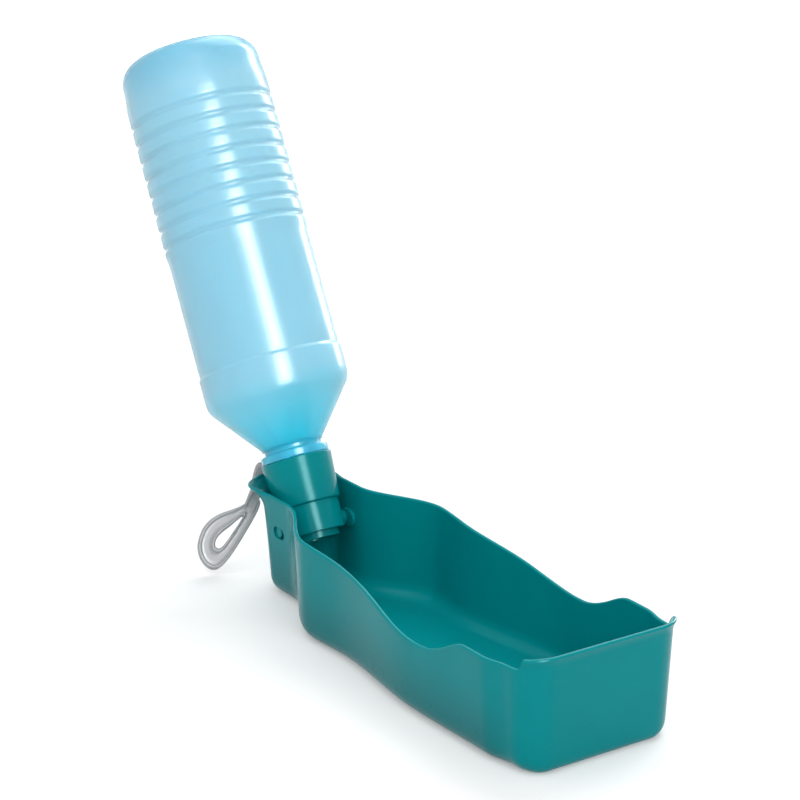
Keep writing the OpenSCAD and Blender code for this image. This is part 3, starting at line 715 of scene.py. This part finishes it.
def inner_profile(points, s):
    """The inside of the wall: straight in the neck, then every point moved in along the profile's normal"""
    neck_wall, neck_top, thin_from, thin_to, shoulder = 0.0013, 0.036, 0.034, 0.045, 0.022
    inside = []
    for before, here, after in zip(points, points[1:], points[2:]):
        along = after - before
        if along.length < 1e-9:
            continue
        if here.y < neck_top:
            p = Vector((s.neck - neck_wall, here.y))
        else:
            thick = mix(neck_wall, s.wall, ramp(here.y, thin_from, thin_to))
            p = here + Vector((-along.y, along.x)).normalized() * thick
        if inside and p.y < inside[-1].y and here.x > shoulder:
            continue
        inside.append(Vector((max(p.x, 0), p.y)))
    return inside


def groove_tree():
    """Geometry nodes: sinks a row of round grooves into a shell turned about an axis"""
    tree = bpy.data.node_groups.new("bottle grooves", "GeometryNodeTree")
    face = tree.interface
    face.new_socket("Geometry", in_out="INPUT", socket_type="NodeSocketGeometry")
    for label, kind in (("Pivot", "NodeSocketVector"), ("Axis", "NodeSocketVector"), ("First", "NodeSocketFloat"),
                        ("Pitch", "NodeSocketFloat"), ("Count", "NodeSocketFloat"), ("Depth", "NodeSocketFloat"),
                        ("Width", "NodeSocketFloat"), ("Material", "NodeSocketMaterial")):
        face.new_socket(label, in_out="INPUT", socket_type=kind)
    face.new_socket("Geometry", in_out="OUTPUT", socket_type="NodeSocketGeometry")
    into = node(tree, "NodeGroupInput").outputs

    def vector(operation, inputs):
        return node(tree, "ShaderNodeVectorMath", inputs, operation=operation).outputs

    position = node(tree, "GeometryNodeInputPosition").outputs[0]
    arm = vector("SUBTRACT", {0: position, 1: into["Pivot"]})[0]
    station = vector("DOT_PRODUCT", {0: arm, 1: into["Axis"]})[1]
    along = vector("SCALE", {0: into["Axis"], "Scale": station})[0]
    radial = vector("SUBTRACT", {0: arm, 1: along})[0]
    wide = maths(tree, "GREATER_THAN", vector("LENGTH", {0: radial})[1], WIDE_PART)
    steps = maths(tree, "DIVIDE", maths(tree, "SUBTRACT", station, into["First"]), into["Pitch"])
    last = maths(tree, "SUBTRACT", into["Count"], 1.0)
    nearest = maths(tree, "MINIMUM", maths(tree, "MAXIMUM", maths(tree, "ROUND", steps), 0.0), last)
    away = times(tree, maths(tree, "SUBTRACT", steps, nearest), into["Pitch"])
    share = maths(tree, "DIVIDE", maths(tree, "ABSOLUTE", away), times(tree, into["Width"], 0.5))
    turn = times(tree, maths(tree, "MINIMUM", share, 1.0), math.pi)
    dip = times(tree, maths(tree, "ADD", maths(tree, "COSINE", turn), 1.0), 0.5)
    depth = times(tree, times(tree, dip, into["Depth"]), wide)
    unit = vector("NORMALIZE", {0: radial})[0]
    inward = vector("SCALE", {0: unit, "Scale": times(tree, depth, -1.0)})[0]
    move = node(tree, "GeometryNodeSetPosition", {"Geometry": into["Geometry"], "Offset": inward})
    real = node(tree, "GeometryNodeRealizeInstances", {0: move.outputs[0]})
    paint = node(tree, "GeometryNodeSetMaterial", {"Geometry": real.outputs[0], "Material": into["Material"]})
    node(tree, "NodeGroupOutput", {0: paint.outputs[0]})
    return tree


def run_tree(piece, tree, values):
    """Runs a geometry tree on a piece with named values and keeps the result as a plain mesh"""
    modifier = piece.modifiers.new(tree.name, "NODES")
    modifier.node_group = tree
    for item in tree.interface.items_tree:
        if item.in_out == "INPUT" and item.name in values:
            modifier[item.identifier] = values[item.name]
    keep_result(piece)


def build_bottle(s, material):
    outside = bottle_profile(s)
    profile = outside + [(0.0, outside[-1].y - s.wall)] + inner_profile(outside, s)[::-1]
    piece = make_solid("bottle_shell", *revolve(profile, 112))
    run_tree(piece, groove_tree(), {
        "Pivot": tuple(PIVOT), "Axis": tuple(AXIS), "First": s.groove_first, "Pitch": s.groove_pitch,
        "Count": float(s.groove_count), "Depth": s.groove_depth, "Width": s.groove_width, "Material": material})
    finish_mesh(piece, 40)
    return piece


# ---------------- the wrist strap

LOOP_START = PIVOT + Vector((-0.0414, -0.0063, -0.0009))
LOOP_DOWN = Vector((-0.048, -0.670, -0.741)).normalized()
LOOP_SIDE = LOOP_DOWN.cross(Vector((-0.610, -0.567, 0.553))).cross(LOOP_DOWN).normalized()
LOOP_FACE = LOOP_DOWN.cross(LOOP_SIDE)
# Outline and slot of the loop as shares of its length and width
LOOP_EDGE = ((0.07, -0.27), (-0.07, -0.11), (-0.04, 0.17), (0.11, 0.26), (0.25, 0.46), (0.38, 0.69), (0.53, 0.87),
             (0.7, 0.92), (0.86, 0.82), (0.97, 0.67), (1.06, 0.42), (1.11, 0.08), (1.09, -0.2), (1, -0.36),
             (0.79, -0.42), (0.46, -0.38))
LOOP_SLOT = ((0.26, 0.04), (0.48, 0.20), (0.62, 0.30), (0.73, 0.31), (0.80, 0.21), (0.80, 0.07), (0.73, 0), (0.52, 0))
LIP_EDGE = PIVOT + Vector((-0.0351, -0.0054, 0.0165))
# The stem's route past the edge of the back lip, in thicknesses of the stem
STEM_ROUTE = ((0.8, 0, 1.5), (-0.54, 0, 0.75), (-1.46, 0, -0.88), (-2.12, -0.04, -2.8), (-2.54, -0.12, -4.96))
# Upper half of the band's section from edge to edge, as shares of half its width and half its thickness
BAND = ((-1.0, 0.0), (-0.985, 0.38), (-0.93, 0.72), (-0.84, 0.94), (-0.74, 1.0), (-0.64, 0.94), (-0.56, 0.80),
        (-0.48, 0.72), (-0.2, 0.70), (0.2, 0.70), (0.48, 0.72), (0.56, 0.80), (0.64, 0.94), (0.74, 1.0),
        (0.84, 0.94), (0.93, 0.72), (0.985, 0.38), (1.0, 0.0))
TAB_END = 0.018  # distance of the stem's start from the bottle's axis
RING_LOW, RING_MID, RING_HIGH = 0.0294, 0.0300, 0.0306  # stations of the flat ring


def even_points(points, count, closed):
    """Points at even distances along the smooth curve through the given ones"""
    fine_steps = 600
    knots = [tuple(p) + (0,) * (3 - len(p)) for p in points]
    fine = [spline(knots, k / fine_steps, closed) for k in range(fine_steps + 1 - closed)]
    if closed:
        fine.append(fine[0])
    runs = np.cumsum([0] + [(b - a).length for a, b in zip(fine, fine[1:])])
    want = np.linspace(0, runs[-1], count + 1)[:-1] if closed else np.linspace(0, runs[-1], count)
    table = np.array([tuple(p) for p in fine])
    return [Vector(tuple(np.interp(w, runs, table[:, k]) for k in range(3))) for w in want]


def tube(rings, closed):
    """Faces of a row of equal rings, with fans on the ends of an open row"""
    n, m = len(rings), len(rings[0])
    verts = [v for ring in rings for v in ring]
    faces = []
    for k in range(n if closed else n - 1):
        j = (k + 1) % n
        faces += [(k * m + i, k * m + (i + 1) % m, j * m + (i + 1) % m, j * m + i) for i in range(m)]
    if not closed:
        faces += [tuple(range(m)), tuple(range((n - 1) * m, n * m))]
    return verts, faces


def band_section(centre, across, up):
    """One closed section of the band round a centre, with a bead along each edge"""
    top = [centre + across * a + up * h for a, h in BAND]
    under = [centre + across * a - up * h for a, h in BAND[-2:0:-1]]
    return top + under


def build_loop(s):
    """The loop: a band between its outline and its slot, matched point to point"""
    steps = 120
    edge, slot = (even_points([(s.loop_length * a, s.loop_width * b) for a, b in shares], steps, True)
                  for shares in (LOOP_EDGE, LOOP_SLOT))

    def mismatch(k):
        return sum((edge[(i + k) % steps] - slot[i]).length for i in range(0, steps, 6))

    shift = min(range(steps), key=mismatch)
    rings = []
    for k in range(steps):
        out, inn = (LOOP_START + LOOP_DOWN * p.x + LOOP_SIDE * p.y for p in (edge[(k + shift) % steps], slot[k]))
        rings.append(band_section((out + inn) / 2, (out - inn) / 2, LOOP_FACE * s.thickness / 2))
    return make_solid("wrist_loop", *tube(rings, True), sharp=50)


def build_stem(s):
    """The stem: from its start on the ring over the back lip to the loop, where it turns to the loop's face"""
    turn = math.radians(TAB_TURN)
    start = ON_AXIS @ Vector((-TAB_END * math.cos(turn), -TAB_END * math.sin(turn), RING_MID))
    over = [LIP_EDGE + s.stem_thickness * Vector(q) for q in STEM_ROUTE]
    path = even_points([start, *over, LOOP_START + LOOP_DOWN * 0.0046], 40, False)
    flat = LOOP_FACE if LOOP_FACE.x < 0 else -LOOP_FACE
    last, rings = len(path) - 1, []
    for k, p in enumerate(path):
        late = ease(2 * k / last - 1)
        along = (path[min(k + 1, last)] - path[max(k - 1, 0)]).normalized()
        out = Vector((p.x - PIVOT.x, 0, p.z - PIVOT.z)).normalized()
        wide = along.cross(out.lerp(flat, late).normalized()).normalized()
        thick = mix(s.stem_thickness, s.thickness * 0.86, late)
        rings.append(band_section(p, wide * s.stem_width / 2 * mix(1, 1.12, late),
                                  wide.cross(along).normalized() * thick / 2))
    return make_solid("stem", *tube(rings, False), sharp=50)


def build_strap(s):
    loop = build_loop(s)
    inner, outer, rounding = 0.0129, 0.0146, 0.0002
    section = fillet([(inner, RING_LOW, rounding), (outer, RING_LOW, 0.0003), (outer, RING_HIGH, 0.0003),
                      (inner, RING_HIGH, rounding)])
    tab = back_box("tab", 0.0138, 0.0195, 0.0026, RING_LOW, RING_HIGH)
    for part in (build_stem(s), tab, make_solid("neck_ring", *revolve(section, 96))):
        combine(loop, part, "UNION")
    finish_mesh(loop, 50)
    return loop


# ---------------- the stage

FLOOR_HALF, FLOOR_SHADE = 4, 0.74
GLOW_START, GLOW_END = 0.30, 1.10  # distances from the origin over which the floor brightens to white
GLOW_NEAR, GLOW_FAR = 0.26, 0.62
WORLD_LIGHT = 0.55  # strength of the world for what it lights. What sees it sees white.
# Name, place, aim, size across and along, power, and whether it only gives highlights
LAMPS = (
    ("front strip", (1.05, -0.30, 0.62), (-0.10, 0, 0.12), 0.46, 1.1, 40, True),
    ("side strip", (-0.47, 1.21, 0.45), (-0.15, 0, 0.12), 0.22, 0.85, 10, True),
    ("back key", (-0.85, 1.20, 1.80), (0, 0, 0.05), 1.8, 1.8, 34, False),
    ("top fill", (0.50, -1.10, 2.30), (0, 0, 0.05), 2.4, 2.4, 22, False),
    ("front fill", (1.60, -0.55, 1.10), (0, 0, 0.05), 1.2, 0.8, 10, False),
)


def add_object(name, data, place, direction):
    """Links a lamp or camera that looks in a direction"""
    made = bpy.data.objects.new(name, data)
    bpy.context.collection.objects.link(made)
    made.location = place
    made.rotation_euler = direction.to_track_quat("-Z", "Y").to_euler()
    return made


def add_lamp(name, place, aim, size, size_y, power, gloss_only):
    data = bpy.data.lights.new(name, "AREA")
    data.shape, data.size, data.size_y, data.energy = "RECTANGLE", size, size_y, power
    lamp = add_object(name, data, place, Vector(aim) - Vector(place))
    lamp.visible_diffuse = not gloss_only


def seen(tree):
    """1 for rays that show the backdrop, straight or in gloss or through the bottle, and 0 for its light"""
    rays = node(tree, "ShaderNodeLightPath").outputs
    shown = maths(tree, "MAXIMUM", rays["Is Glossy Ray"], rays["Is Transmission Ray"])
    return maths(tree, "MAXIMUM", rays["Is Camera Ray"], shown)


def add_camera():
    yaw, pitch = math.radians(CAMERA_YAW), math.radians(CAMERA_PITCH)
    data = bpy.data.cameras.new("camera")
    data.sensor_width, data.lens, data.clip_start, data.clip_end = CAMERA_SENSOR, CAMERA_LENS, 0.05, 20
    towards = Vector((-math.cos(yaw) * math.cos(pitch), math.sin(yaw) * math.cos(pitch), -math.sin(pitch)))
    bpy.context.scene.camera = add_object("camera", data, CAMERA_AT, towards)


def pale_floor():
    """White to the eye far from the object, and nearer with room for the object's shadow"""
    material, tree, shader = new_material("pale floor")
    position = node(tree, "ShaderNodeTexCoord").outputs["Object"]
    distance = node(tree, "ShaderNodeVectorMath", {0: position}, operation="LENGTH").outputs["Value"]
    glow = map_range(tree, distance, GLOW_START, GLOW_END, GLOW_NEAR, GLOW_FAR, "SMOOTHSTEP")
    set_inputs(tree, shader, {
        "Base Color": (FLOOR_SHADE, FLOOR_SHADE, FLOOR_SHADE, 1), "Roughness": 0.9, "Specular IOR Level": 0.0,
        "Emission Color": (1, 1, 1, 1), "Emission Strength": times(tree, seen(tree), glow)})
    return material


def add_world():
    world = bpy.data.worlds.new("studio")
    bpy.context.scene.world = world
    world.use_nodes = True
    tree = world.node_tree
    strength = weighted_sum(tree, WORLD_LIGHT, (seen(tree), 1 - WORLD_LIGHT))
    set_inputs(tree, tree.nodes["Background"], {"Color": (1, 1, 1, 1), "Strength": strength})


def build_stage():
    bpy.context.scene.view_settings.view_transform = "Standard"
    add_camera()
    corners = [(x * FLOOR_HALF, y * FLOOR_HALF, 0) for x, y in ((-1, -1), (1, -1), (1, 1), (-1, 1))]
    floor = make_piece("floor", corners, [(0, 1, 2, 3)])
    set_material(floor, pale_floor())
    add_world()
    for lamp in LAMPS:
        add_lamp(*lamp)


# ---------------- operators


class WATERBOTTLE_OT_stage(bpy.types.Operator):
    """Adds the camera, the floor, the world and the lamps"""

    bl_idname = "waterbottle.stage"
    bl_label = "Stage"
    bl_options = {"REGISTER", "UNDO"}

    def execute(self, context):
        build_stage()
        return {"FINISHED"}


class WATERBOTTLE_OT_trough(bpy.types.Operator):
    """Builds the drinking trough in place of its CAD solid"""

    bl_idname = "waterbottle.trough"
    bl_label = "Trough"
    bl_options = {"REGISTER", "UNDO"}

    def execute(self, context):
        settings = context.scene.water_trough
        piece = build_trough(settings)
        set_material(piece, teal_plastic(settings.colour))
        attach(piece, "tray")
        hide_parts("trough")
        return {"FINISHED"}


class WATERBOTTLE_OT_cap(bpy.types.Operator):
    """Builds the hinged cap, and finishes the ring that holds its valve"""

    bl_idname = "waterbottle.cap"
    bl_label = "Hinged cap"
    bl_options = {"REGISTER", "UNDO"}

    def execute(self, context):
        teal = bpy.data.materials["teal moulded plastic"]
        piece = build_cap()
        set_material(piece, teal)
        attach(piece, "cap")
        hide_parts("hinge_cap")
        frame["nodes"]["valve_keeper"].material_slots[0].material = teal
        return {"FINISHED"}


class WATERBOTTLE_OT_valve(bpy.types.Operator):
    """Finishes the soft washer and the slit valve"""

    bl_idname = "waterbottle.valve"
    bl_label = "Washer and valve"
    bl_options = {"REGISTER", "UNDO"}

    def execute(self, context):
        silicone = white_silicone()
        for name in ("seal_washer", "slit_valve"):
            frame["nodes"][name].material_slots[0].material = silicone
        return {"FINISHED"}


class WATERBOTTLE_OT_bottle(bpy.types.Operator):
    """Builds the squeeze bottle with its grooves"""

    bl_idname = "waterbottle.bottle"
    bl_label = "Squeeze bottle"
    bl_options = {"REGISTER", "UNDO"}

    def execute(self, context):
        settings = context.scene.water_squeeze_bottle
        piece = build_bottle(settings, blue_plastic())
        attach(piece, "bottle_body")
        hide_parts("bottle")
        return {"FINISHED"}


class WATERBOTTLE_OT_strap(bpy.types.Operator):
    """Builds the soft wrist strap: ring, stem and loop"""

    bl_idname = "waterbottle.strap"
    bl_label = "Wrist strap"
    bl_options = {"REGISTER", "UNDO"}

    def execute(self, context):
        settings = context.scene.water_strap
        piece = build_strap(settings)
        set_material(piece, grey_plastic(settings.colour))
        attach(piece, "strap")
        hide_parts("wrist_strap")
        return {"FINISHED"}


class WATERBOTTLE_PT_panel(bpy.types.Panel):
    """Lists the pieces of the water bottle"""

    bl_label = "Dog travel water bottle"
    bl_space_type = "VIEW_3D"
    bl_region_type = "UI"
    bl_category = "Water bottle"

    def draw(self, context):
        for step in STEPS:
            self.layout.operator(step.bl_idname)
        for name in ("water_trough", "water_squeeze_bottle", "water_strap"):
            box = self.layout.box()
            for key in getattr(context.scene, name).bl_rna.properties.keys():
                if key not in ("rna_type", "name"):
                    box.prop(getattr(context.scene, name), key)


STEPS = (
    WATERBOTTLE_OT_stage,
    WATERBOTTLE_OT_trough,
    WATERBOTTLE_OT_cap,
    WATERBOTTLE_OT_valve,
    WATERBOTTLE_OT_bottle,
    WATERBOTTLE_OT_strap,
)
CLASSES = (TroughSettings, BottleSettings, StrapSettings) + STEPS + (WATERBOTTLE_PT_panel,)


def register():
    for kind in CLASSES:
        bpy.utils.register_class(kind)
    bpy.types.Scene.water_trough = PointerProperty(type=TroughSettings)
    bpy.types.Scene.water_squeeze_bottle = PointerProperty(type=BottleSettings)
    bpy.types.Scene.water_strap = PointerProperty(type=StrapSettings)


def unregister():
    del bpy.types.Scene.water_trough, bpy.types.Scene.water_squeeze_bottle, bpy.types.Scene.water_strap
    for kind in reversed(CLASSES):
        bpy.utils.unregister_class(kind)


def plain(box):
    return [[float(v) for v in corner] for corner in box]


def main():
    register()
    bpy.ops.waterbottle.stage()
    bpy.ops.waterbottle.trough()
    bpy.ops.waterbottle.cap()
    bpy.ops.waterbottle.valve()
    bpy.ops.waterbottle.bottle()
    bpy.ops.waterbottle.strap()


if __name__ == "__main__":
    main()
